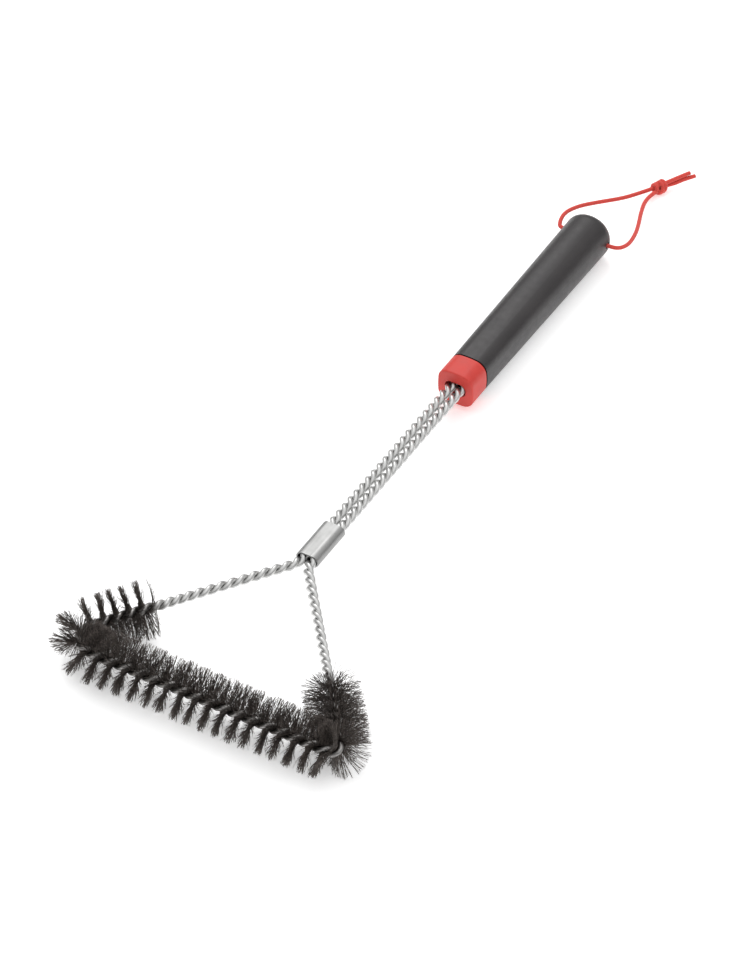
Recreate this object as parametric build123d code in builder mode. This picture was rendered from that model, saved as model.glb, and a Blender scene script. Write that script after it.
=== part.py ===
"""Grill cleaning brush with a three-sided twisted-wire head.

Two steel wires are twisted into one rope. The rope runs out of the handle, through the ferrule,
along one arm, round the three sides of the head and back the same way, so that the stem is two
ropes side by side. Bristles are trapped between the wires at the front bar, the two corners and
the last stretch of each arm. A collar closes the front of a hollow handle, and a knotted cord
loop hangs from a hole across its end.

Millimetres. +Z is up, +Y runs from the head to the end of the handle and X runs across the head.
The origin is the centre of the footprint of the rigid parts, on the surface they lie on. The
brush rests on its bristles and on the end of its handle, so the tool plane, which holds every
wire, slopes down a little towards the handle. The head is bent a little out of true: its
right side reaches farther from the stem than its left, and its right corner is the tighter bend.
"""

import os
from math import asin, atan2, cos, degrees, pi, radians, sin, sqrt, tan

from build123d import *

os.makedirs("parts", exist_ok=True)

# ---- Driving dimensions -------------------------------------------------------------------
LENGTH = 460.0  # bristle tips at the front to the end of the handle

WIRE_R = 1.525  # 11 gauge wire
WIRE_CLEARANCE = 0.05  # between the two wires of a rope
ROPE_X = 3.1  # each rope of the stem from the middle

BRISTLE_R = 17.0
BRISTLE_BORE_R = 3.2
# From the stem's line to where an arm's line crosses the bar's, and the bend there.
LEFT_REACH = 87.5
LEFT_CORNER_BEND_R = 12.0
RIGHT_REACH = 96.8
RIGHT_CORNER_BEND_R = 5.0
BRISTLE_START_AHEAD = 74.1  # ahead of the ferrule, where the bristles of an arm begin
ARM_BEND_R = 14.0  # where a rope leaves the ferrule and splays
ARM_BEND_AHEAD = 4.9
ARC_RUNOUT = 0.5  # straight wire kept on an arm past its last bend

FERRULE_FRONT_Y = -89.1
FERRULE_LENGTH = 29.1
FERRULE_WIDTH = 14.3
FERRULE_HEIGHT = 7.9
FERRULE_WALL = 0.8

COLLAR_FRONT_Y = 73.4
COLLAR_LENGTH = 15.2
COLLAR_FRONT_WALL = 5.3
COLLAR_EDGE_R = 0.9
COLLAR_MOUTH_WIDTH = 13.4
COLLAR_MOUTH_HEIGHT = 8.8
COLLAR_MOUTH_CORNER_R = 3.9
GROOVE = 0.9  # between the collar and the handle
# Soft square sections: width across the flats, corner radius, radius of the bowed sides.
COLLAR_FRONT_SECTION = (23.0, 6.8, 56.0)
JUNCTION_SECTION = (23.3, 7.5, 42.0)
HANDLE_END_SECTION = (28.0, 13.3, 15.2)

NOSE_R = 10.0  # of the handle, inside the collar
FIT = 0.1  # on the radius, between the handle's pieces
BORE_R = 8.5
BORE_END_Y = 206.0
CORE_END_Y = 150.0
ANCHOR_LENGTH = 12.0
END_FILLET = 6.5
HOLE_R = 2.0  # across the handle, for the cord
HOLE_FROM_END = 7.5

CORD_R = 1.2
CORD_STANDOFF = 0.15  # of the in-hole stretch, proud of the handle's sides
ARC_SHARE = 0.45  # of the shorter run at a corner of the cord's route, taken by its arc
KNOT_LENGTH = 9.5
KNOT_R = 3.8
KNOT_ROUNDING = 2.5

# ---- The tool plane and what follows from the driving dimensions --------------------------
BAR_Y = BRISTLE_R - LENGTH / 2
BRISTLE_START_Y = FERRULE_FRONT_Y - BRISTLE_START_AHEAD
HANDLE_END_Y = LENGTH / 2
COLLAR_BACK_Y = COLLAR_FRONT_Y + COLLAR_LENGTH
HANDLE_FRONT_Y = COLLAR_BACK_Y + GROOVE

# It rests where the bristles of the arms begin, and where the handle's end starts to round off.
REST_Y = HANDLE_END_Y - END_FILLET
HANDLE_TAPER = (HANDLE_END_SECTION[0] - JUNCTION_SECTION[0]) / (HANDLE_END_Y - HANDLE_FRONT_Y)
REST_R = HANDLE_END_SECTION[0] / 2 - END_FILLET * HANDLE_TAPER / 2
SLOPE = asin((BRISTLE_R - REST_R) / (REST_Y - BRISTLE_START_Y))
TOOL_HEIGHT = BRISTLE_R * cos(SLOPE) + BRISTLE_START_Y * sin(SLOPE)

STRAND_RISE = WIRE_R + WIRE_CLEARANCE / 2
NOSE_FRONT_Y = COLLAR_FRONT_Y + COLLAR_FRONT_WALL + FIT
HOLE_Y = HANDLE_END_Y - HOLE_FROM_END


class HeadSide:
    """Where one side of the head turns, in the tool plane. x is measured from the stem."""

    def __init__(self, name, side, reach, bend_r):
        self.name = name
        self.side = side
        self.bend_r = bend_r
        self.splay = Vector(side * ROPE_X, FERRULE_FRONT_Y - ARM_BEND_AHEAD)
        self.corner = Vector(side * reach, BAR_Y)
        self.arm_direction = (self.splay - self.corner).normalized()
        self.half_angle = atan2(self.arm_direction.Y, -side * self.arm_direction.X) / 2
        self.tangent = bend_r / tan(self.half_angle)
        self.bend_centre = Vector(self.corner.X - side * self.tangent, BAR_Y + bend_r)
        self.bar_end = (self.bend_centre.X - side * ARC_RUNOUT, BAR_Y)
        self.bristle_end = self.bend_centre.X + side * (bend_r + BRISTLE_R)


left = HeadSide("left", -1, LEFT_REACH, LEFT_CORNER_BEND_R)
right = HeadSide("right", 1, RIGHT_REACH, RIGHT_CORNER_BEND_R)

# The footprint is as wide as the bristles round the two corners.
STEM_X = -(left.bristle_end + right.bristle_end) / 2
tool = Plane(
    origin=(STEM_X, 0, TOOL_HEIGHT), x_dir=(1, 0, 0), z_dir=(0, sin(SLOPE), cos(SLOPE))
)


def across(y):
    """A plane square to the tool's axis at y: its own y is up, and it faces the handle's end."""
    return Plane(tool.from_local_coords((0, y, 0)), x_dir=(-1, 0, 0), z_dir=tool.y_dir)


def soft_square(width, corner_r, side_r):
    """A closed outline in four bowed sides and four round corners, each tangent to the next."""
    side_centre = width / 2 - side_r
    reach = side_r - corner_r
    diagonal = (side_centre + sqrt(2 * reach**2 - side_centre**2)) / 2
    lean = degrees(atan2(diagonal, diagonal - side_centre))
    for quarter in range(4):
        turn = 90 * quarter
        side_at = Vector(0, side_centre).rotate(Axis.Z, turn)
        corner_at = Vector(diagonal, diagonal).rotate(Axis.Z, turn)
        CenterArc(side_at, side_r, 90 - lean + turn, 2 * lean)
        CenterArc(corner_at, corner_r, lean + turn, 90 - 2 * lean)


def soft_square_face(y, section):
    with BuildSketch(across(y)) as face:
        with BuildLine():
            soft_square(*section)
        make_face()
    return face.sketch


def oval_tube(y, length, width, height, wall):
    """A tube of flattened oval section along the tool's axis, starting at y."""
    with BuildPart() as tube:
        with BuildSketch(across(y)):
            SlotOverall(width, height)
            SlotOverall(width - 2 * wall, height - 2 * wall, mode=Mode.SUBTRACT)
        extrude(amount=length)
    return tube


def finish(piece, name):
    piece.part.label = name
    export_step(piece.part, f"parts/{name}.step")


# ---- Wires --------------------------------------------------------------------------------
# The two wires of a rope lie one over the other here, without their twist.
def strand(name, points, radii, rise):
    """One stretch of wire along points in the tool plane, at a height above or below it."""
    with BuildPart() as wire:
        with BuildLine(tool.offset(rise)) as path:
            if radii:
                FilletPolyline(*points, radius=radii)
            else:
                Line(*points)
        with BuildSketch(Plane(path.line @ 0, z_dir=path.line % 0)):
            Circle(WIRE_R)
        sweep()
    finish(wire, name)


def stem_and_arm(half, strand_name, rise):
    """The stem and arm of one wire, on one side of the head."""
    x = half.side * ROPE_X
    stem_end = (x, FERRULE_FRONT_Y)
    strand(f"{strand_name}_{half.name}_stem", [(x, CORE_END_Y), stem_end], [], rise)
    splay = (half.splay.X, half.splay.Y)
    corner = (half.corner.X, half.corner.Y)
    arm = [stem_end, splay, corner, half.bar_end]
    strand(f"{strand_name}_{half.name}_arm", arm, [ARM_BEND_R, half.bend_r], rise)


for strand_name, rise in (("strand_a", STRAND_RISE), ("strand_b", -STRAND_RISE)):
    stem_and_arm(left, strand_name, rise)
    stem_and_arm(right, strand_name, rise)
    strand(f"{strand_name}_bar", [left.bar_end, right.bar_end], [], rise)


# ---- Bristles -----------------------------------------------------------------------------
# Each node is the closed shape that its bristle tips fill, bored for the rope.
def sleeve_ring():
    Circle(BRISTLE_R)
    Circle(BRISTLE_BORE_R, mode=Mode.SUBTRACT)


def in_tool_plane(direction):
    return tool.from_local_coords(direction) - tool.origin


def mitre_plane(half):
    """Halves the corner, and faces the arm."""
    along = Vector(half.side * cos(half.half_angle), -sin(half.half_angle))
    normal = Vector(half.side * sin(half.half_angle), cos(half.half_angle))
    corner = tool.from_local_coords(half.corner)
    return Plane(corner, x_dir=in_tool_plane(along), z_dir=in_tool_plane(normal))


with BuildPart() as bristles_front:
    bar_start = tool.from_local_coords((left.bend_centre.X, BAR_Y, 0))
    with BuildSketch(Plane(bar_start, x_dir=tool.y_dir, z_dir=tool.x_dir)):
        sleeve_ring()
    extrude(amount=right.bend_centre.X - left.bend_centre.X)
    split(bisect_by=mitre_plane(left), keep=Keep.BOTTOM)
    split(bisect_by=mitre_plane(right), keep=Keep.BOTTOM)
finish(bristles_front, "bristles_front")


def bristles_on_arm(half):
    start = tool.from_local_coords(half.corner + half.arm_direction * half.tangent)
    length = (BRISTLE_START_Y - BAR_Y) / half.arm_direction.Y - half.tangent
    with BuildPart() as bristles:
        with BuildSketch(Plane(start, x_dir=tool.z_dir, z_dir=in_tool_plane(half.arm_direction))):
            sleeve_ring()
        extrude(amount=length)
        split(bisect_by=mitre_plane(half), keep=Keep.TOP)
    finish(bristles, f"bristles_{half.name}_arm")


def bristles_round_corner(half):
    centre = tool.from_local_coords(half.bend_centre)
    with BuildPart() as bristles:
        with BuildSketch(Plane(centre, x_dir=-tool.y_dir, z_dir=half.side * tool.x_dir)):
            with Locations((half.bend_r, 0)):
                Circle(BRISTLE_R)
            with Locations((BRISTLE_R, 0)):
                Rectangle(2 * BRISTLE_R, 2 * BRISTLE_R, mode=Mode.INTERSECT)
            with Locations((half.bend_r, 0)):
                Circle(BRISTLE_BORE_R, mode=Mode.SUBTRACT)
        turn = 180 - degrees(2 * half.half_angle)
        revolve(axis=Axis(centre, half.side * tool.z_dir), revolution_arc=turn)
    finish(bristles, f"bristles_{half.name}_corner")


for half in (left, right):
    bristles_on_arm(half)
    bristles_round_corner(half)

# ---- Ferrule and the sleeve that anchors the wires in the handle --------------------------
ferrule = oval_tube(FERRULE_FRONT_Y, FERRULE_LENGTH, FERRULE_WIDTH, FERRULE_HEIGHT, FERRULE_WALL)
finish(ferrule, "ferrule")

anchor_sleeve = oval_tube(
    CORE_END_Y - ANCHOR_LENGTH, ANCHOR_LENGTH, FERRULE_WIDTH, FERRULE_HEIGHT, FERRULE_WALL
)
finish(anchor_sleeve, "anchor_sleeve")

# ---- Handle -------------------------------------------------------------------------------
with BuildPart() as collar:
    add(soft_square_face(COLLAR_FRONT_Y, COLLAR_FRONT_SECTION))
    add(soft_square_face(COLLAR_BACK_Y, JUNCTION_SECTION))
    loft()
    fillet(collar.faces().sort_by(Axis.Y)[0].edges(), radius=COLLAR_EDGE_R)
    with BuildSketch(across(COLLAR_BACK_Y)):
        Circle(NOSE_R + FIT)
    extrude(amount=COLLAR_FRONT_WALL - COLLAR_LENGTH, mode=Mode.SUBTRACT)
    with BuildSketch(across(COLLAR_FRONT_Y)):
        RectangleRounded(COLLAR_MOUTH_WIDTH, COLLAR_MOUTH_HEIGHT, COLLAR_MOUTH_CORNER_R)
    extrude(amount=COLLAR_FRONT_WALL, mode=Mode.SUBTRACT)
finish(collar, "collar")

with BuildPart() as handle_shell:
    add(soft_square_face(HANDLE_FRONT_Y, JUNCTION_SECTION))
    add(soft_square_face(HANDLE_END_Y, HANDLE_END_SECTION))
    loft()
    fillet(handle_shell.faces().sort_by(Axis.Y)[-1].edges(), radius=END_FILLET)
    with BuildSketch(across(NOSE_FRONT_Y)):
        Circle(NOSE_R)
    extrude(amount=HANDLE_FRONT_Y - NOSE_FRONT_Y)
    with BuildSketch(across(NOSE_FRONT_Y)):
        Circle(BORE_R)
    extrude(amount=BORE_END_Y - NOSE_FRONT_Y, mode=Mode.SUBTRACT)
    with BuildSketch(Plane(tool.from_local_coords((0, HOLE_Y, 0)), z_dir=(1, 0, 0))):
        Circle(HOLE_R)
    extrude(amount=HANDLE_END_SECTION[0], both=True, mode=Mode.SUBTRACT)
finish(handle_shell, "handle_shell")

with BuildPart() as handle_core:
    with BuildSketch(across(NOSE_FRONT_Y)):
        Circle(BORE_R - FIT)
        SlotOverall(FERRULE_WIDTH - 2 * FERRULE_WALL, FERRULE_HEIGHT - 2 * FERRULE_WALL, mode=Mode.SUBTRACT)
    extrude(amount=CORE_END_Y - NOSE_FRONT_Y)
    with BuildSketch(across(CORE_END_Y)):
        SlotOverall(FERRULE_WIDTH + 2 * FIT, FERRULE_HEIGHT + 2 * FIT)
    extrude(amount=-ANCHOR_LENGTH, mode=Mode.SUBTRACT)
finish(handle_core, "handle_core")

# ---- Cord loop ----------------------------------------------------------------------------
# One limp cord, threaded through the hole and tied with both ends in one overhand knot. Each half
# leaves its side of the handle, droops to the knot, which lies on the surface, and ends in a tail.
hole = tool.from_local_coords((0, HOLE_Y, 0))
mouth_x = HANDLE_END_SECTION[0] / 2 + CORD_STANDOFF


def beside_stem(route):
    """The points of a route whose x was measured from the stem's line."""
    return [Vector(x + STEM_X, y, z) for x, y, z in route]


LEFT_LEG = beside_stem([
    (-mouth_x, hole.Y, hole.Z),
    (-17.6, hole.Y, hole.Z),
    (-19.6, 225.5, 14.2),
    (-20.9, 229.4, 14.2),
    (-21.3, 234.1, 13.6),
    (-20.1, 239.7, 12.9),
    (-16.8, 247.7, 11.5),
    (-10.3, 257.6, 9.4),
    (-2.3, 268.8, 7.1),
    (2.2, 278.3, 5.3),
    (6.9, 287.6, 4.2),
])
RIGHT_LEG = beside_stem([
    (mouth_x, hole.Y, hole.Z),
    (18.0, hole.Y, hole.Z),
    (21.2, 226.6, 12.4),
    (22.0, 233.9, 10.6),
    (19.8, 244.7, 8.7),
    (16.5, 253.9, 7.0),
    (11.7, 265.1, 5.2),
    (8.0, 276.9, 4.0),
    (9.3, 286.0, 3.7),
])
LEFT_TAIL = beside_stem([
    (11.6, 294.0, 5.6),
    (14.6, 299.1, 6.0),
    (17.7, 304.2, 6.4),
    (20.3, 307.9, 6.9),
])
RIGHT_TAIL = beside_stem([
    (11.2, 294.5, 3.1),
    (15.0, 298.5, 3.4),
    (19.3, 303.8, 4.0),
    (23.1, 309.2, 4.8),
])


def bend_radii(points):
    """The radius of the arc at each corner of a route, as large as its two runs allow."""
    radii = []
    for before, at, after in zip(points, points[1:], points[2:]):
        half_turn = radians((at - before).get_angle(after - at)) / 2
        shorter = min((at - before).length, (after - at).length)
        radii.append(ARC_SHARE * shorter / tan(half_turn))
    return radii


def cord(name, points):
    radii = bend_radii(points)
    with BuildPart() as tube:
        with BuildLine() as route:
            FilletPolyline(*points, radius=radii)
        with BuildSketch(Plane(route.line @ 0, z_dir=route.line % 0)):
            Circle(CORD_R)
        sweep()
    finish(tube, name)
    length = route.wire().length
    share = tube.part.volume / (pi * CORD_R**2 * length)
    print(f"{name}: {length:.1f} long, volume {share:.4f} of section times length")
    print(f"{name}: bend radii {[round(radius, 1) for radius in radii]}")


cord("cord_left_leg", LEFT_LEG)
cord("cord_right_leg", RIGHT_LEG)
cord("cord_left_tail", LEFT_TAIL)
cord("cord_right_tail", RIGHT_TAIL)

with BuildPart() as cord_through_hole:
    with BuildSketch(Plane(LEFT_LEG[0], z_dir=(1, 0, 0))):
        Circle(CORD_R)
    extrude(amount=2 * mouth_x)
finish(cord_through_hole, "cord_through_hole")

knot_front = (LEFT_LEG[-1] + RIGHT_LEG[-1]) / 2
knot_back = (LEFT_TAIL[0] + RIGHT_TAIL[0]) / 2
knot_axis = (knot_back - knot_front).normalized()
knot_start = (knot_front + knot_back) / 2 - knot_axis * (KNOT_LENGTH / 2)
with BuildPart() as cord_knot:
    with BuildSketch(Plane(knot_start, z_dir=knot_axis)):
        Circle(KNOT_R)
    extrude(amount=KNOT_LENGTH)
    fillet(cord_knot.edges().filter_by(GeomType.CIRCLE), radius=KNOT_ROUNDING)
finish(cord_knot, "cord_knot")
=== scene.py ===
"""The looks of the grill cleaning brush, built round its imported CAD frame. Metres, +Z up."""

from math import atan2, cos, pi, radians, sin, tan

import bpy
import numpy as np
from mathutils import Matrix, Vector


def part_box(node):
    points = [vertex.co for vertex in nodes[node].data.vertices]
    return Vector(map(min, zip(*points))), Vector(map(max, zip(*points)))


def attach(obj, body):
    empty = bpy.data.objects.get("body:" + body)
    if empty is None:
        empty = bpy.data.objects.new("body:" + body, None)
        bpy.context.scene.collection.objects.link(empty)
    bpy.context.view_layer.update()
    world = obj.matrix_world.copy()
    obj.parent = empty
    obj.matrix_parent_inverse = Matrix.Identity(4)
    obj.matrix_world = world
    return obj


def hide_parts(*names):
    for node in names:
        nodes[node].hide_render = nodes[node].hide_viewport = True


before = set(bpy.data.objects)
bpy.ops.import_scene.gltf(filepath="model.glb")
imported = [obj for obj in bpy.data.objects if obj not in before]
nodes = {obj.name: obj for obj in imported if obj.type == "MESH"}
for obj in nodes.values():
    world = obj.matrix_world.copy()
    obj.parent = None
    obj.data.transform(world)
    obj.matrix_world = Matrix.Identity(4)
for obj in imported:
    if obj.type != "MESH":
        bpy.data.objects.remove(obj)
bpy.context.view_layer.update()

MM = 0.001
FULL_TURN = 2 * pi
SEED = 11

# ---- Camera -------------------------------------------------------------------------------
CAMERA_AZIMUTH = 30.46  # degrees, 0 looks along +Y
CAMERA_ELEVATION = 43.28
CAMERA_DISTANCE = 6.0
CAMERA_LENS = 402.6
NEAREST_SEEN = 0.1
FARTHEST_SEEN = 50.0
LOOK_AT = Vector((-16.7, -3.15, 2.0)) * MM


def aim(thing, target, azimuth, elevation, distance):
    """Put a camera or a light at a distance from its target, facing it. The angles are degrees."""
    around = radians(azimuth)
    up = radians(elevation)
    outward = Vector((sin(around) * cos(up), -cos(around) * cos(up), sin(up)))
    thing.location = target + outward * distance
    thing.rotation_euler = (-outward).to_track_quat("-Z", "Y").to_euler()
    bpy.context.scene.collection.objects.link(thing)


def make_camera():
    data = bpy.data.cameras.new("camera")
    data.lens = CAMERA_LENS
    data.clip_start = NEAREST_SEEN
    data.clip_end = FARTHEST_SEEN
    camera = bpy.data.objects.new("camera", data)
    aim(camera, LOOK_AT, CAMERA_AZIMUTH, CAMERA_ELEVATION, CAMERA_DISTANCE)
    bpy.context.scene.camera = camera


make_camera()

# ---- Mesh helpers -------------------------------------------------------------------------
OFF_EVERY_LINE = (0.1, 0.3, 1.0)  # a direction that no tube starts along
BLUNTNESS = 0.15  # of a tube's ends: at 0 they would close to a point


def unit(vectors):
    return vectors / np.linalg.norm(vectors, axis=-1, keepdims=True)


def distances(points):
    """How far along the line each of its points is."""
    steps = np.linalg.norm(np.diff(points, axis=0), axis=1)
    return np.concatenate([[0.0], np.cumsum(steps)])


def mesh_object(name, vertices, faces):
    mesh = bpy.data.meshes.new(name)
    mesh.from_pydata(vertices, [], faces)
    mesh.shade_smooth()
    piece = bpy.data.objects.new(name, mesh)
    bpy.context.scene.collection.objects.link(piece)
    return piece


def carried_frames(tangents):
    """Two directions square to each tangent, which turn with the line and don't twist about it."""
    side = np.cross(tangents[0], OFF_EVERY_LINE)
    sides = []
    for tangent in tangents:
        side = unit(side - tangent * (side @ tangent))
        sides.append(side)
    sides = np.array(sides)
    return sides, np.cross(tangents, sides)


def tube_faces(rings, sides):
    """Quads between the rings, and triangles to the point in the middle of each end."""
    row = np.arange(rings - 1)[:, None] * sides
    here = np.arange(sides)[None, :]
    beside = (here + 1) % sides
    quads = np.stack([row + here, row + beside, row + sides + beside, row + sides + here], axis=-1)
    first_point = rings * sides
    last_point = first_point + 1
    last_ring = (rings - 1) * sides
    faces = quads.reshape(-1, 4).tolist()
    faces += [[first_point, (i + 1) % sides, i] for i in range(sides)]
    faces += [[last_point, last_ring + i, last_ring + (i + 1) % sides] for i in range(sides)]
    return faces


def tube(name, centres, radius, sides, rounding, surface=None):
    """A closed round tube along centres. Its ends are rounded over that share of the radius, and
    surface(distance, angle) scales the radius."""
    tangents = unit(np.gradient(centres, axis=0))
    across, over = carried_frames(tangents)
    along = distances(centres)
    angles = np.linspace(0.0, FULL_TURN, sides, endpoint=False)
    scale = np.ones((len(centres), sides))
    if surface:
        scale = surface(along[:, None], angles[None, :])
    to_end = np.minimum(along, along[-1] - along) / (rounding * radius)
    rounded = np.sqrt(1 - (1 - np.clip(to_end, BLUNTNESS, 1.0)) ** 2)
    scale = scale * rounded[:, None]
    ring = across[:, None] * np.cos(angles)[:, None] + over[:, None] * np.sin(angles)[:, None]
    rings = centres[:, None] + ring * (radius * scale)[..., None]
    vertices = np.concatenate([rings.reshape(-1, 3), centres[[0, -1]]])
    return mesh_object(name, vertices.tolist(), tube_faces(len(centres), sides))


# ---- Cord loop ----------------------------------------------------------------------------
# The route of the CAD tube, in millimetres, from each side of the hole to the tip of a tail. A few
# of its points are moved by about a millimetre. x is measured from the stem.
hole_low, hole_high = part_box("cord_through_hole")
hole = (hole_low + hole_high) / 2
stem_x = hole.x
mouth = (hole_high.x - stem_x) / MM
hole_y = hole.y / MM
hole_z = hole.z / MM
LEFT_ROUTE = [
    (-mouth, hole_y, hole_z),
    (-17.6, hole_y, hole_z),
    (-19.3, 225.7, 14.3),
    (-20.4, 230.0, 14.5),
    (-20.7, 235.0, 14.0),
    (-19.5, 240.5, 13.1),
    (-16.8, 247.7, 11.5),
    (-10.3, 257.6, 9.4),
    (-2.3, 268.8, 7.1),
    (2.2, 278.3, 5.3),
    (6.9, 287.6, 4.2),
    (11.6, 294.0, 5.6),
    (14.6, 299.1, 6.0),
    (17.7, 304.2, 6.4),
    (20.3, 307.9, 6.9),
]
RIGHT_ROUTE = [
    (mouth, hole_y, hole_z),
    (18.0, hole_y, hole_z),
    (21.2, 226.6, 12.4),
    (22.0, 233.9, 10.6),
    (19.8, 244.7, 8.7),
    (16.5, 253.9, 7.0),
    (11.7, 265.1, 5.2),
    (8.0, 276.9, 4.0),
    (9.3, 286.0, 3.7),
    (11.2, 294.5, 3.1),
    (15.0, 298.5, 3.4),
    (18.4, 304.3, 3.9),
    (23.1, 309.2, 4.8),
]
LEFT_TAIL_START = 11  # index of the route's first point behind the knot
RIGHT_TAIL_START = 9
ROUTE_SMOOTHNESS = 16

CORD_DIAMETER = hole_high.z - hole_low.z
CORD_ROUNDING = 0.4
CORD_STEP = 0.22 * MM
CORD_SIDES = 40
BRAID_CARRIERS = 8
BRAID_PITCH = 5.2 * MM
BRAID_DEPTH = 0.045  # as a share of the cord's radius


def spline_points(route):
    """Points along the smooth NURBS curve that has the route as its control points, in metres."""
    curve = bpy.data.curves.new("route", "CURVE")
    curve.dimensions = "3D"
    spline = curve.splines.new("NURBS")
    spline.points.add(len(route) - 1)
    for point, (x, y, z) in zip(spline.points, route):
        point.co = (stem_x + x * MM, y * MM, z * MM, 1.0)
    spline.order_u = 3
    spline.use_endpoint_u = True
    spline.resolution_u = ROUTE_SMOOTHNESS
    holder = bpy.data.objects.new("route", curve)
    mesh = bpy.data.meshes.new_from_object(holder)
    points = np.array([vertex.co for vertex in mesh.vertices])
    bpy.data.meshes.remove(mesh)
    bpy.data.objects.remove(holder)
    bpy.data.curves.remove(curve)
    return points


def evenly(points, step):
    """The same line with points a step apart."""
    along = distances(points)
    at = np.linspace(0.0, along[-1], max(2, round(along[-1] / step)))
    return np.stack([np.interp(at, along, points[:, axis]) for axis in range(3)], axis=-1)


def braid(distance, angle):
    """The over and under of a braided sheath: two sets of ridges that cross."""
    turn = FULL_TURN * distance / BRAID_PITCH
    one_way = np.cos(BRAID_CARRIERS * (angle + turn))
    other_way = np.cos(BRAID_CARRIERS * (angle - turn))
    return 1.0 - BRAID_DEPTH + BRAID_DEPTH * np.maximum(one_way, other_way)


def cord_half(name, route):
    centres = evenly(spline_points(route), CORD_STEP)
    return tube(name, centres, CORD_DIAMETER / 2, CORD_SIDES, CORD_ROUNDING, braid), centres


# The overhand knot: each half wraps round both halves, and the two wraps lie side by side.
KNOT_WRAP_R = 2.9 * MM
KNOT_CORE_R = 0.9 * MM
KNOT_TURNS = 1.6
KNOT_PITCH = 3.5 * MM
KNOT_POINTS = 220
KNOT_CORD_R = CORD_DIAMETER / 2 * 0.98
KNOT_ROUNDING = 0.25
TUCK_SHARE = 0.16  # of a wrap's length, over which each end dives into the knot
WRAP_OFFSET = CORD_DIAMETER * 0.47  # of each wrap from the knot's middle
WRAP_START = 0.6  # radians, midway between the starts of the two wraps
WRAP_PHASE = 0.35  # and of each wrap from that
WRAP_LEAN = 0.9 * MM
LEAN_PHASE = 0.8
knot_low, knot_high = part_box("cord_knot")
knot_centre = np.array((knot_low + knot_high) / 2)


def knot_wrap(name, side):
    """One half's turns round both halves in the overhand knot, tucked in at each end."""
    in_front = np.add(LEFT_ROUTE[LEFT_TAIL_START - 1], RIGHT_ROUTE[RIGHT_TAIL_START - 1])
    behind = np.add(LEFT_ROUTE[LEFT_TAIL_START], RIGHT_ROUTE[RIGHT_TAIL_START])
    axis = unit(behind - in_front)
    over = unit(np.array((0.0, 0.0, 1.0)) - axis * axis[2])
    across = np.cross(axis, over)
    share = np.linspace(0.0, 1.0, KNOT_POINTS)
    untucked = np.clip(np.minimum(share, 1 - share) / TUCK_SHARE, 0.0, 1.0)
    untucked = untucked * untucked * (3 - 2 * untucked)  # eased in and out
    radius = KNOT_CORE_R + (KNOT_WRAP_R - KNOT_CORE_R) * untucked
    angle = FULL_TURN * KNOT_TURNS * share + side * WRAP_PHASE + WRAP_START
    reach = KNOT_PITCH * KNOT_TURNS * (share - 0.5) + side * WRAP_OFFSET
    lean = WRAP_LEAN * np.sin(angle + LEAN_PHASE)
    centres = (
        knot_centre
        + axis * (reach + lean)[:, None]
        + across * (radius * np.cos(angle))[:, None]
        + over * (radius * np.sin(angle))[:, None]
    )
    return tube(name, evenly(centres, CORD_STEP), KNOT_CORD_R, CORD_SIDES, KNOT_ROUNDING, braid)


cord_left, left_line = cord_half("cord_left", LEFT_ROUTE)
cord_right, right_line = cord_half("cord_right", RIGHT_ROUTE)
knot_left = knot_wrap("knot_wrap_left", -1)
knot_right = knot_wrap("knot_wrap_right", 1)
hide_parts("cord_left_leg", "cord_left_tail")
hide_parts("cord_right_leg", "cord_right_tail")
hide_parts("cord_knot")
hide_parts("cord_knot")
cord_pieces = [cord_left, cord_right, knot_left, knot_right]
for piece in cord_pieces:
    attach(piece, "hang_cord")

# ---- The rope's path through the tool plane -----------------------------------------------
# Two wires twisted into a rope, from inside the handle round the head and back. x is measured from
# the stem, and each half starts under the stem's line, in the middle of the bar.
WIRE_R = 1.525 * MM
WIRE_SIDES = 16
WIRE_ROUNDING = 0.3
ROPE_X = 3.1 * MM
ROPE_STEP = 0.4 * MM
HIDDEN_END_Y = 112.0 * MM  # inside the handle, past what its mouth shows
SPLAY_Y = -94.0 * MM  # where an arm's line leaves the stem's
SPLAY_BEND_R = 14.0 * MM
BAR_Y = -213.0 * MM
LEFT_REACH = 87.5 * MM  # to where the lines of the arm and the bar meet
LEFT_CORNER_BEND_R = 12.0 * MM
LEFT_BRISTLE_START_Y = -163.2 * MM
RIGHT_REACH = 96.8 * MM
RIGHT_CORNER_BEND_R = 5.0 * MM
RIGHT_BRISTLE_START_Y = -167.4 * MM


def tool_plane():
    """The stem's place at y = 0, its direction towards the handle and the way up from it."""
    low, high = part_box("strand_a_left_stem")
    below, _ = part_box("strand_b_left_stem")
    length = high.y - low.y
    slope = (high.z - low.z - 2 * WIRE_R) / length
    middle_z = (high.z + below.z) / 2 + slope * (high.y + low.y) / 2
    along = unit(np.array((0.0, 1.0, -slope)))
    return np.array((stem_x, 0.0, middle_z)), along, np.cross((1.0, 0.0, 0.0), along)


tool_origin, tool_y, tool_up = tool_plane()


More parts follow.
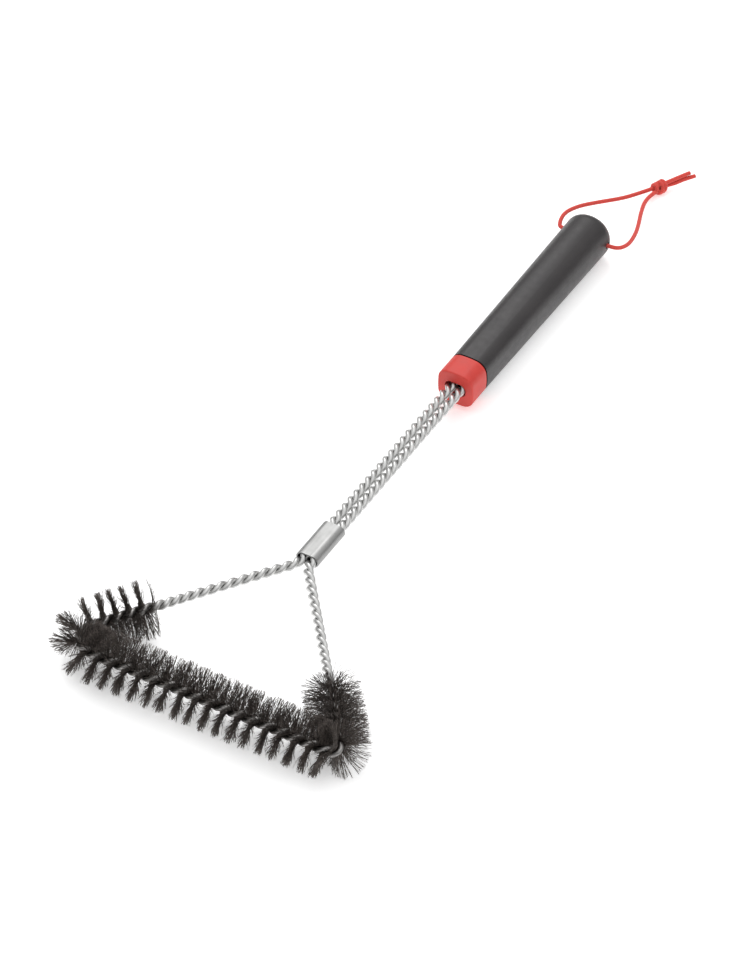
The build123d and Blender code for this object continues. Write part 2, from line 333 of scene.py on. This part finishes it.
class HeadSide:
    """One half of the rope, from the middle of the bar, round its corner to the stem."""

    def __init__(self, name, side, reach, bend_r, bristle_y):
        self.name = name
        self.side = side
        corner = np.array((reach, BAR_Y))
        splay = np.array((ROPE_X, SPLAY_Y))
        end = np.array((ROPE_X, HIDDEN_END_Y))
        stops = [np.array((0.0, BAR_Y)), corner, splay, end]
        runs = [after - before for before, after in zip(stops, stops[1:])]
        headings = [atan2(run[1], run[0]) for run in runs]
        turns = [after - before for before, after in zip(headings, headings[1:])]
        tangents = [0.0, bend_r * tan(turns[0] / 2), -SPLAY_BEND_R * tan(turns[1] / 2), 0.0]
        straights = [np.linalg.norm(run) for run in runs] - np.add(tangents[:-1], tangents[1:])
        bends = [bend_r * turns[0], -SPLAY_BEND_R * turns[1]]
        lengths = [straights[0], bends[0], straights[1], bends[1], straights[2]]
        self.stations = np.concatenate([[0.0], np.cumsum(lengths)])
        self.turned = np.cumsum([0.0, 0.0, turns[0], 0.0, turns[1], 0.0])
        self.bar_end, self.corner_end, self.splay_start, self.splay_end = self.stations[1:-1]
        to_bristle_start = (bristle_y - BAR_Y) / (runs[1][1] / np.linalg.norm(runs[1]))
        self.bristle_end = self.corner_end + to_bristle_start - tangents[1]

    def line(self):
        """Distances from the middle of the bar and the rope's places in the tool plane."""
        count = round(self.stations[-1] / ROPE_STEP)
        s = np.linspace(0.0, self.stations[-1], count + 1)
        heading = np.interp((s[1:] + s[:-1]) / 2, self.stations, self.turned)
        x = np.concatenate([[0.0], np.cumsum(np.diff(s) * np.cos(heading))])
        y = BAR_Y + np.concatenate([[0.0], np.cumsum(np.diff(s) * np.sin(heading))])
        return s, self.side * x, y


left = HeadSide("left", -1, LEFT_REACH, LEFT_CORNER_BEND_R, LEFT_BRISTLE_START_Y)
right = HeadSide("right", 1, RIGHT_REACH, RIGHT_CORNER_BEND_R, RIGHT_BRISTLE_START_Y)


def rope_line():
    """Distances along the rope, negative on the left, with its places and directions."""
    s, x, y = (np.concatenate([a[:0:-1], b]) for a, b in zip(left.line(), right.line()))
    s = np.where(x < 0, -s, s)
    places = tool_origin + np.outer(x, (1.0, 0.0, 0.0)) + np.outer(y, tool_y)
    forward = unit(np.gradient(places, s, axis=0))
    return s, places, forward, np.cross(tool_up, forward)


rope_s, rope_places, rope_forward, rope_inward = rope_line()

# ---- The twist of the rope ----------------------------------------------------------------
# The lay is the length of a full turn. It tightens where the bristles of an arm end and eases off
# beyond them. The filaments hold the wires apart. Stops are measured from the end of the bristles.
BAR_LAY = 18.0 * MM
BRISTLED_ARM_LAY = 15.6 * MM
TIGHT_LAY = 11.4 * MM
ARM_LAY = 13.2 * MM
STEM_LAY = 12.7 * MM
TIGHTENING_START = -4.0 * MM
TIGHTENING_END = 4.0 * MM
EASING_START = 16.0 * MM
EASING_END = 30.0 * MM
TWIST_START = 0.4  # radians, in the middle of the bar
BRISTLE_GAP = 0.2 * MM
GAP_CLOSING_START = -3.0 * MM
GAP_CLOSING_END = 2.0 * MM


def lay_along(half):
    """Distances along one half of the rope, each with the lay there."""
    end = half.bristle_end
    return [
        (0.0, BAR_LAY),
        (half.bar_end, BAR_LAY),
        (half.corner_end, BRISTLED_ARM_LAY),
        (end + TIGHTENING_START, BRISTLED_ARM_LAY),
        (end + TIGHTENING_END, TIGHT_LAY),
        (end + EASING_START, TIGHT_LAY),
        (end + EASING_END, ARM_LAY),
        (half.splay_start, ARM_LAY),
        (half.splay_end, STEM_LAY),
    ]


def gap_along(half):
    """Distances along one half of the rope, each with how far the wires are held off its middle."""
    end = half.bristle_end
    return [(end + GAP_CLOSING_START, BRISTLE_GAP), (end + GAP_CLOSING_END, 0.0)]


def along_rope(stops_of):
    """Values all along the rope, from the stops on each half."""
    on_left = np.interp(-rope_s, *zip(*stops_of(left)))
    on_right = np.interp(rope_s, *zip(*stops_of(right)))
    return np.where(rope_s < 0, on_left, on_right)


def twist_angle():
    """The angle of wire a about the rope's middle, which is a left-handed screw."""
    lay = along_rope(lay_along)
    turn = np.concatenate([[0.0], np.cumsum(np.diff(rope_s) * 2 / (lay[1:] + lay[:-1]))])
    turn -= np.interp(0.0, rope_s, turn)
    return TWIST_START - FULL_TURN * turn


rope_twist = twist_angle()
rope_gap = along_rope(gap_along)


def strand(name, phase):
    angle = (rope_twist + phase)[:, None]
    away = rope_inward * np.cos(angle) + tool_up * np.sin(angle)
    centres = rope_places + away * (WIRE_R + rope_gap)[:, None]
    return tube(name, centres, WIRE_R, WIRE_SIDES, WIRE_ROUNDING)


def strand_nodes(letter):
    stretches = ("left_stem", "left_arm", "bar", "right_arm", "right_stem")
    return [f"strand_{letter}_{stretch}" for stretch in stretches]


wires = []
for letter, phase in (("a", 0.0), ("b", pi)):
    wire = strand(f"wire_{letter}", phase)
    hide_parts(*strand_nodes(letter))
    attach(wire, "brush")
    wires.append(wire)

# ---- Bristles -----------------------------------------------------------------------------
random = np.random.default_rng(SEED)
BRISTLE_R = 17.0 * MM
ROOT_R = 0.35 * MM  # where a filament starts, from the rope's middle
FILAMENT_R = 0.17 * MM
TIP_TAPER = 0.3  # share of its radius that a filament loses by its tip
FILAMENTS_PER_MM = 16
FILAMENT_RINGS = 9
FILAMENT_SIDES = 3
FAN_SPREAD = radians(8.0)  # of the filaments about the line square to the two wires
CRIMP = 0.28 * MM  # height of the waves along a filament
CRIMP_WAVES = 2.2
BOW = 0.6 * MM
TUFT_LEAN = 0.035  # slope along the rope that the filaments of a half turn share
FILAMENT_LEAN = 0.05  # and each one's own
LENGTH_SPREAD = 0.025
MOST_WORN = 0.08  # share of its length that a worn filament may have lost
THINNING = 7.0 * MM  # where the bristles of an arm give out
FLOOR_CLEARANCE = 0.25 * MM


def on_rope(values, s):
    return np.stack([np.interp(s, rope_s, values[:, axis]) for axis in range(3)], axis=-1)


def filament_places(start, end, thin_end):
    """Where along the rope each filament passes through it, once for each of its two ends."""
    count = round((end - start) / MM * FILAMENTS_PER_MM)
    s = start + (end - start) * random.random(count)
    if thin_end is not None:
        s = s[np.abs(s - thin_end) > THINNING * random.random(count)]
    return np.tile(s, 2)


def filament_leans(s):
    """How much each filament leans along the rope."""
    tuft = np.floor(np.interp(s, rope_s, rope_twist) / pi).astype(int)
    tuft_leans = random.normal(size=tuft.max() - tuft.min() + 1) * TUFT_LEAN
    return tuft_leans[tuft - tuft.min()] + FILAMENT_LEAN * random.normal(size=len(s))


def filament_lengths(total):
    spread = LENGTH_SPREAD * random.normal(size=total)
    worn = MOST_WORN * random.random(total) ** 3
    return BRISTLE_R * (1.0 + spread - worn)


def filament_faces(total):
    """Quads along every filament, and a triangle over each root and tip."""
    corner = np.arange(FILAMENT_SIDES)
    first = np.arange(total)[:, None] * FILAMENT_RINGS * FILAMENT_SIDES
    row = first[..., None] + np.arange(FILAMENT_RINGS - 1)[:, None] * FILAMENT_SIDES
    here = row + corner
    beside = row + (corner + 1) % FILAMENT_SIDES
    quads = np.stack([here, beside, beside + FILAMENT_SIDES, here + FILAMENT_SIDES], axis=-1)
    roots = first + corner[::-1]
    tips = first + (FILAMENT_RINGS - 1) * FILAMENT_SIDES + corner
    return quads.reshape(-1, 4).tolist() + roots.tolist() + tips.tolist()


def bristles(name, node, one_end, other_end, thin_end=None):
    """Filaments trapped between the wires from end to end, which fan out with the twist."""
    start, end = sorted((one_end, other_end))
    s = filament_places(start, end, thin_end)
    total = len(s)
    way = np.repeat([0.5 * pi, -0.5 * pi], total // 2)
    forward = on_rope(rope_forward, s)
    inward = on_rope(rope_inward, s)
    angle = np.interp(s, rope_s, rope_twist) + way + FAN_SPREAD * random.normal(size=total)
    out = unit(inward * np.cos(angle)[:, None] + tool_up * np.sin(angle)[:, None])
    round_it = np.cross(forward, out)
    lean = filament_leans(s)[:, None, None]
    length = filament_lengths(total)[:, None, None]
    bow = BOW * random.normal(size=(2, total))[..., None, None]
    phase = random.random(size=(2, total))[..., None, None]

    t = np.linspace(0.0, 1.0, FILAMENT_RINGS)[None, :, None]
    wave = CRIMP * t * np.sin(FULL_TURN * (CRIMP_WAVES * t + phase))
    centres = (
        on_rope(rope_places, s)[:, None]
        + out[:, None] * (ROOT_R + (length - ROOT_R) * t)
        + forward[:, None] * (lean * length * t + bow[0] * t**2 + wave[0])
        + round_it[:, None] * (bow[1] * t**2 + wave[1])
    )
    radius = FILAMENT_R * (1.0 - TIP_TAPER * t)
    corners = (np.arange(FILAMENT_SIDES) * FULL_TURN / FILAMENT_SIDES)[:, None]
    ring = forward[:, None] * np.cos(corners) + round_it[:, None] * np.sin(corners)
    points = centres[:, :, None] + ring[:, None] * radius[..., None]
    points[..., 2] = np.maximum(points[..., 2], FLOOR_CLEARANCE)
    piece = mesh_object(name, points.reshape(-1, 3), filament_faces(total))
    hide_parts(node)
    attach(piece, "brush")
    return piece


bristle_pieces = []
for half in (left, right):
    bar_end = half.side * half.bar_end
    corner_end = half.side * half.corner_end
    bristle_end = half.side * half.bristle_end
    corner_node = f"bristles_{half.name}_corner"
    arm_node = f"bristles_{half.name}_arm"
    bristle_pieces += [
        bristles(f"{half.name}_bar_filaments", "bristles_front", 0.0, bar_end),
        bristles(f"{half.name}_corner_filaments", corner_node, bar_end, corner_end),
        bristles(f"{half.name}_arm_filaments", arm_node, corner_end, bristle_end, thin_end=bristle_end),
    ]

# ---- Materials ----------------------------------------------------------------------------
NOISE_LOW = 0.3  # the values that noise mostly stays between
NOISE_HIGH = 0.7


class Finish:
    """A material, and short ways to add nodes to it."""

    def __init__(self, name):
        self.material = bpy.data.materials.new(name)
        self.material.use_nodes = True
        self.tree = self.material.node_tree
        self.shader = self.tree.nodes["Principled BSDF"]
        self.places = self.node("ShaderNodeTexCoord").outputs["Object"]

    def node(self, kind, inputs=(), **settings):
        made = self.tree.nodes.new(kind)
        for key, value in settings.items():
            setattr(made, key, value)
        for key, value in dict(inputs).items():
            self.feed(made.inputs[key], value)
        return made

    def feed(self, socket, value):
        if isinstance(value, bpy.types.NodeSocket):
            self.tree.links.new(value, socket)
        else:
            socket.default_value = value

    def shade(self, **inputs):
        for key, value in inputs.items():
            self.feed(self.shader.inputs[key.replace("_", " ")], value)

    def stretched(self, scale):
        """The object's places, scaled by a different amount on each axis."""
        mapping = self.node("ShaderNodeMapping", {"Vector": self.places, "Scale": scale})
        return mapping.outputs["Vector"]

    def noise(self, scale, detail=3.0, places=None):
        """Noise with about that many lumps to a metre."""
        inputs = {
            "Vector": places or self.places,
            "Scale": scale,
            "Detail": detail,
            "Roughness": 0.55,
        }
        return self.node("ShaderNodeTexNoise", inputs).outputs["Fac"]

    def between(self, factor, low, high, from_low=NOISE_LOW, from_high=NOISE_HIGH):
        """A number that goes from low to high as the factor does."""
        inputs = {
            "Value": factor,
            "From Min": from_low,
            "From Max": from_high,
            "To Min": low,
            "To Max": high,
        }
        return self.node("ShaderNodeMapRange", inputs).outputs["Result"]

    def colours(self, factor, stops):
        """The colour at the factor's place among the stops, each a place and its colour."""
        ramp = self.node("ShaderNodeValToRGB", {"Fac": factor})
        elements = ramp.color_ramp.elements
        while len(elements) < len(stops):
            elements.new(0.5)
        for element, (position, colour) in zip(elements, stops.items()):
            element.position = position
            element.color = (*colour, 1.0)
        return ramp.outputs["Color"]

    def past_y(self, y, width):
        """0 before y and 1 beyond it, over a stretch of that width."""
        split = self.node("ShaderNodeSeparateXYZ", {"Vector": self.places})
        return self.between(split.outputs["Y"], 0.0, 1.0, y - width / 2, y + width / 2)

    def mixed(self, factor, one, other):
        """One colour where the factor is 0 and the other where it is 1."""
        mix = self.node("ShaderNodeMix", data_type="RGBA")
        colour_inputs = [socket for socket in mix.inputs if socket.type == "RGBA"]
        colour_outputs = [socket for socket in mix.outputs if socket.type == "RGBA"]
        self.feed(mix.inputs["Factor"], factor)
        self.feed(colour_inputs[0], one)
        self.feed(colour_inputs[1], other)
        return colour_outputs[0]

    def bump(self, height, depth, strength, under=None):
        inputs = {"Height": height, "Distance": depth, "Strength": strength}
        if under:
            inputs["Normal"] = under
        return self.node("ShaderNodeBump", inputs).outputs["Normal"]


DULL_ZINC = (0.52, 0.52, 0.515)
BRIGHT_ZINC = (0.70, 0.70, 0.69)
# Painted shade: the wire is darker in the head, where the bristles shade it.
DARK_WIRE_SHADE = (0.15, 0.145, 0.14)
PALE_WIRE_SHADE = (0.40, 0.39, 0.38)
WIRE_SHADE_FADE = 8 * MM  # over which the painted shade fades, where the wire leaves the bristles


def wire_finish():
    finish = Finish("galvanised_wire")
    spangle = finish.noise(scale=420.0, detail=4.0)
    streaks = finish.noise(scale=1800.0, detail=2.0)
    open_zinc = finish.colours(spangle, {NOISE_LOW: DULL_ZINC, NOISE_HIGH: BRIGHT_ZINC})
    # Painted shade: darker zinc among the bristles, where they shade the wire.
    shaded_zinc = finish.colours(spangle, {NOISE_LOW: DARK_WIRE_SHADE, NOISE_HIGH: PALE_WIRE_SHADE})
    finish.shade(
        Metallic=1.0,
        Base_Color=finish.mixed(finish.past_y(LEFT_BRISTLE_START_Y, WIRE_SHADE_FADE), shaded_zinc, open_zinc),
        Roughness=finish.between(streaks, low=0.28, high=0.44),
        Normal=finish.bump(finish.noise(scale=2600.0), depth=0.04 * MM, strength=0.6),
    )
    return finish.material


DARK_STEEL = (0.32, 0.32, 0.316)
LIGHT_STEEL = (0.38, 0.38, 0.376)
DRAWN_ALONG_Y = (900.0, 25.0, 900.0)


def ferrule_finish():
    finish = Finish("polished_steel")
    drawn = finish.noise(scale=1.0, detail=5.0, places=finish.stretched(DRAWN_ALONG_Y))
    clouds = finish.noise(scale=160.0)
    finish.shade(
        Metallic=1.0,
        Base_Color=finish.colours(clouds, {NOISE_LOW: DARK_STEEL, NOISE_HIGH: LIGHT_STEEL}),
        Roughness=finish.between(drawn, low=0.36, high=0.50),
        Normal=finish.bump(drawn, depth=0.01 * MM, strength=0.3),
    )
    return finish.material


BURNT_BRISTLE = (0.070, 0.058, 0.052)
DARK_BRISTLE = (0.14, 0.12, 0.107)
BARE_BRISTLE = (0.31, 0.27, 0.24)


def bristle_finish():
    finish = Finish("dark_bristle_steel")
    tone = finish.noise(scale=900.0, detail=2.0)
    tones = {0.35: BURNT_BRISTLE, 0.6: DARK_BRISTLE, 0.75: BARE_BRISTLE}
    finish.shade(
        Metallic=0.45,
        Base_Color=finish.colours(tone, tones),
        Roughness=finish.between(finish.noise(scale=1500.0), low=0.28, high=0.48),
    )
    return finish.material


DEEP_CHARCOAL = (0.024, 0.021, 0.022)
CHARCOAL = (0.031, 0.027, 0.028)
# Painted shade: near-black for the shade in the groove between the handle and the collar.
DEEP_GROOVE_SHADE_BLACK = (0.002, 0.002, 0.002)
GROOVE_SHADE_BLACK = (0.004, 0.004, 0.004)
GROOVE_SHADE_END_Y = 89.8 * MM  # painted shade: the handle's front end and front edge, up to here, are black, for the shade in the groove under the collar
GROOVE_SHADE_FADE = 0.2 * MM


def handle_finish():
    finish = Finish("charcoal_plastic")
    grain = finish.noise(scale=5200.0, detail=2.0)
    mottle = finish.noise(scale=45.0, detail=5.0)
    charcoal = finish.colours(mottle, {0.35: DEEP_CHARCOAL, 0.65: CHARCOAL})
    # Painted shade in the groove under the collar, near-black instead of charcoal.
    groove_shade = finish.colours(mottle, {0.35: DEEP_GROOVE_SHADE_BLACK, 0.65: GROOVE_SHADE_BLACK})
    waviness = finish.bump(mottle, depth=0.4 * MM, strength=0.15)
    finish.shade(
        Base_Color=finish.mixed(finish.past_y(GROOVE_SHADE_END_Y, GROOVE_SHADE_FADE), groove_shade, charcoal),
        Roughness=finish.between(finish.noise(scale=260.0, detail=4.0), low=0.36, high=0.46),
        Normal=finish.bump(grain, depth=0.06 * MM, strength=0.5, under=waviness),
    )
    return finish.material


CORE_BLACK = (0.006, 0.006, 0.006)
CORE_GREY = (0.014, 0.013, 0.013)


def core_finish():
    finish = Finish("black_plastic")
    mottle = finish.noise(scale=300.0)
    finish.shade(
        Base_Color=finish.colours(mottle, {NOISE_LOW: CORE_BLACK, NOISE_HIGH: CORE_GREY}),
        Roughness=0.55,
    )
    return finish.material


DEEP_RED = (0.60, 0.038, 0.028)
RED = (0.66, 0.047, 0.035)


def collar_finish():
    finish = Finish("red_plastic")
    grain = finish.noise(scale=4200.0, detail=2.0)
    mottle = finish.noise(scale=120.0, detail=4.0)
    finish.shade(
        Base_Color=finish.colours(mottle, {0.35: DEEP_RED, 0.65: RED}),
        Roughness=finish.between(mottle, low=0.42, high=0.52),
        Normal=finish.bump(grain, depth=0.05 * MM, strength=0.5),
    )
    return finish.material


CORD_RED = (0.56, 0.038, 0.028)
CORD_LIGHT_RED = (0.78, 0.078, 0.056)


def cord_finish():
    finish = Finish("red_woven_cord")
    fibre = finish.noise(scale=5200.0, detail=3.0)
    finish.shade(
        Base_Color=finish.colours(fibre, {NOISE_LOW: CORD_RED, NOISE_HIGH: CORD_LIGHT_RED}),
        Roughness=0.78,
        Sheen_Weight=0.25,
        Sheen_Roughness=0.5,
        Normal=finish.bump(fibre, depth=0.08 * MM, strength=0.8),
    )
    return finish.material


def dress(pieces, material):
    for piece in pieces:
        piece.data.materials.clear()
        piece.data.materials.append(material)


dress(wires + [nodes["anchor_sleeve"]], wire_finish())
dress([nodes["ferrule"]], ferrule_finish())
dress(bristle_pieces, bristle_finish())
dress([nodes["handle_shell"]], handle_finish())
dress([nodes["handle_core"]], core_finish())
dress([nodes["collar"]], collar_finish())
dress(cord_pieces + [nodes["cord_through_hole"]], cord_finish())

# ---- Floor and light ----------------------------------------------------------------------
WHITE = (1.0, 1.0, 1.0, 1.0)
FLOOR_WHITE = (0.96, 0.96, 0.96, 1.0)
FLOOR_HALF = 6.0
FLOOR_GLOW = 0.4  # lifts the background to pure white
SKY_AT_HORIZON = 0.1
SKY_OVERHEAD = 1.3
KEY_AZIMUTH = -141.0
KEY_ELEVATION = 51.0
KEY_DISTANCE = 2.2
KEY_SIZE = 1.1
KEY_POWER = 11.0


def floor():
    corners = [(x * FLOOR_HALF, y * FLOOR_HALF, 0) for x, y in ((-1, -1), (1, -1), (1, 1), (-1, 1))]
    surface = mesh_object("floor", corners, [[0, 1, 2, 3]])
    finish = Finish("white_floor")
    finish.shade(
        Base_Color=FLOOR_WHITE,
        Roughness=0.8,
        Emission_Color=WHITE,
        Emission_Strength=FLOOR_GLOW,
    )
    surface.data.materials.append(finish.material)


def sky():
    """White light that grows from the horizon to straight up."""
    world = bpy.data.worlds.new("studio")
    world.use_nodes = True
    tree = world.node_tree
    direction = tree.nodes.new("ShaderNodeTexCoord")
    split = tree.nodes.new("ShaderNodeSeparateXYZ")
    growth = tree.nodes.new("ShaderNodeMapRange")
    growth.inputs["To Min"].default_value = SKY_AT_HORIZON
    growth.inputs["To Max"].default_value = SKY_OVERHEAD
    background = tree.nodes["Background"]
    background.inputs["Color"].default_value = WHITE
    tree.links.new(direction.outputs["Generated"], split.inputs["Vector"])
    tree.links.new(split.outputs["Z"], growth.inputs["Value"])
    tree.links.new(growth.outputs["Result"], background.inputs["Strength"])
    bpy.context.scene.world = world


def key_light():
    """A soft lamp behind the object, whose shine on upward faces is seen from the camera."""
    data = bpy.data.lights.new("key", "AREA")
    data.shape = "DISK"
    data.size = KEY_SIZE
    data.energy = KEY_POWER
    light = bpy.data.objects.new("key", data)
    aim(light, Vector(), KEY_AZIMUTH, KEY_ELEVATION, KEY_DISTANCE)


floor()
sky()
key_light()
bpy.context.scene.view_settings.view_transform = "Standard"
